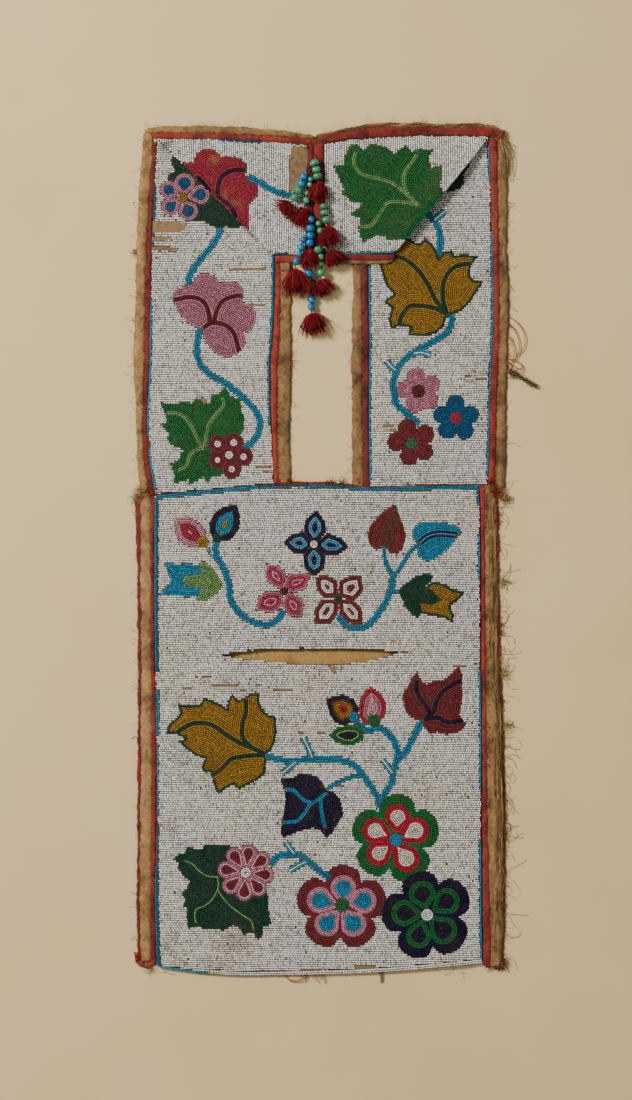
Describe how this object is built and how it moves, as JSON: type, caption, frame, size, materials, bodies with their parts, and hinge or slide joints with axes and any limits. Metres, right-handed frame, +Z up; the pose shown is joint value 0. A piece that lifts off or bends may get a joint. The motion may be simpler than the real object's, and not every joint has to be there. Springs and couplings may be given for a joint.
{
  "type": "beaded bandolier bag",
  "caption": "Flat shoulder bag with a slit-mouthed pouch and a wide strap folded square at the shoulders, covered in floral seed beadwork, with glass bead and wool tassel drops.",
  "frame": {"origin": "on the surface the bag lies on, under the middle of the box round its cloth", "axes": "+Z up out of the beaded front, +Y from the pouch towards the shoulder of the strap, +X to the right seen from the front"},
  "size_m": [0.4034, 0.8532, 0.0201],
  "materials": {
    "seed_beads": "rows of small opaque glass beads sewn on cloth, off-white ground with floral colours",
    "tan_cloth": "aged tan cotton cloth",
    "red_cloth": "worn red wool cloth and tan cotton tape bindings",
    "wool": "dark crimson wool yarn",
    "twine": "brown twisted thread",
    "glass_green": "glossy opaque glass",
    "glass_teal": "glossy opaque glass",
    "glass_blue": "glossy opaque glass",
    "glass_navy": "glossy opaque glass"
  },
  "bodies": {
    "root": {"bead_string_main_cord": "twine", "pocket_lining": "tan_cloth", "pouch_back": "tan_cloth", "pouch_front": "seed_beads", "pouch_left_binding": "red_cloth", "pouch_right_binding": "red_cloth", "strap_left": "seed_beads", "strap_left_end_binding": "red_cloth", "strap_left_inner_binding": "red_cloth", "strap_left_outer_binding": "red_cloth", "strap_right": "seed_beads", "strap_right_end_binding": "red_cloth", "strap_right_inner_binding": "red_cloth", "strap_right_outer_binding": "red_cloth", "string_a_bead_1": "glass_green", "string_a_bead_2": "glass_green", "string_a_bead_3": "glass_green", "string_a_tassel": "wool", "string_b_bead_1": "glass_blue", "string_b_bead_2": "glass_blue", "string_b_bead_3": "glass_green", "string_b_bead_4": "glass_green", "string_b_tassel": "wool", "string_c_bead_1": "glass_teal", "string_c_bead_2": "glass_green", "string_c_bead_3": "glass_green", "string_c_bead_4": "glass_green", "string_c_tassel": "wool", "string_d_bead_1": "glass_green", "string_d_bead_2": "glass_green", "string_d_bead_3": "glass_green", "string_d_tassel": "wool", "string_e_bead_1": "glass_green", "string_e_bead_2": "glass_green", "string_e_tassel": "wool", "string_f_bead_1": "glass_blue", "string_f_bead_2": "glass_blue", "string_f_bead_3": "glass_blue", "string_f_bead_4": "glass_blue", "string_f_tassel": "wool", "string_g_bead_1": "glass_blue", "string_g_bead_2": "glass_blue", "string_g_bead_3": "glass_blue", "string_g_bead_4": "glass_blue", "string_g_tassel": "wool", "string_h_bead_1": "glass_green", "string_h_bead_2": "glass_green", "string_h_bead_3": "glass_green", "string_h_bead_4": "glass_green", "string_h_tassel": "wool", "string_i_bead_1": "glass_blue", "string_i_bead_2": "glass_navy", "string_i_bead_3": "glass_navy", "string_i_bead_4": "glass_blue", "string_i_bead_5": "glass_blue", "string_i_tassel": "wool", "tie_cord_stub": "twine"}
  },
  "joints": []
}
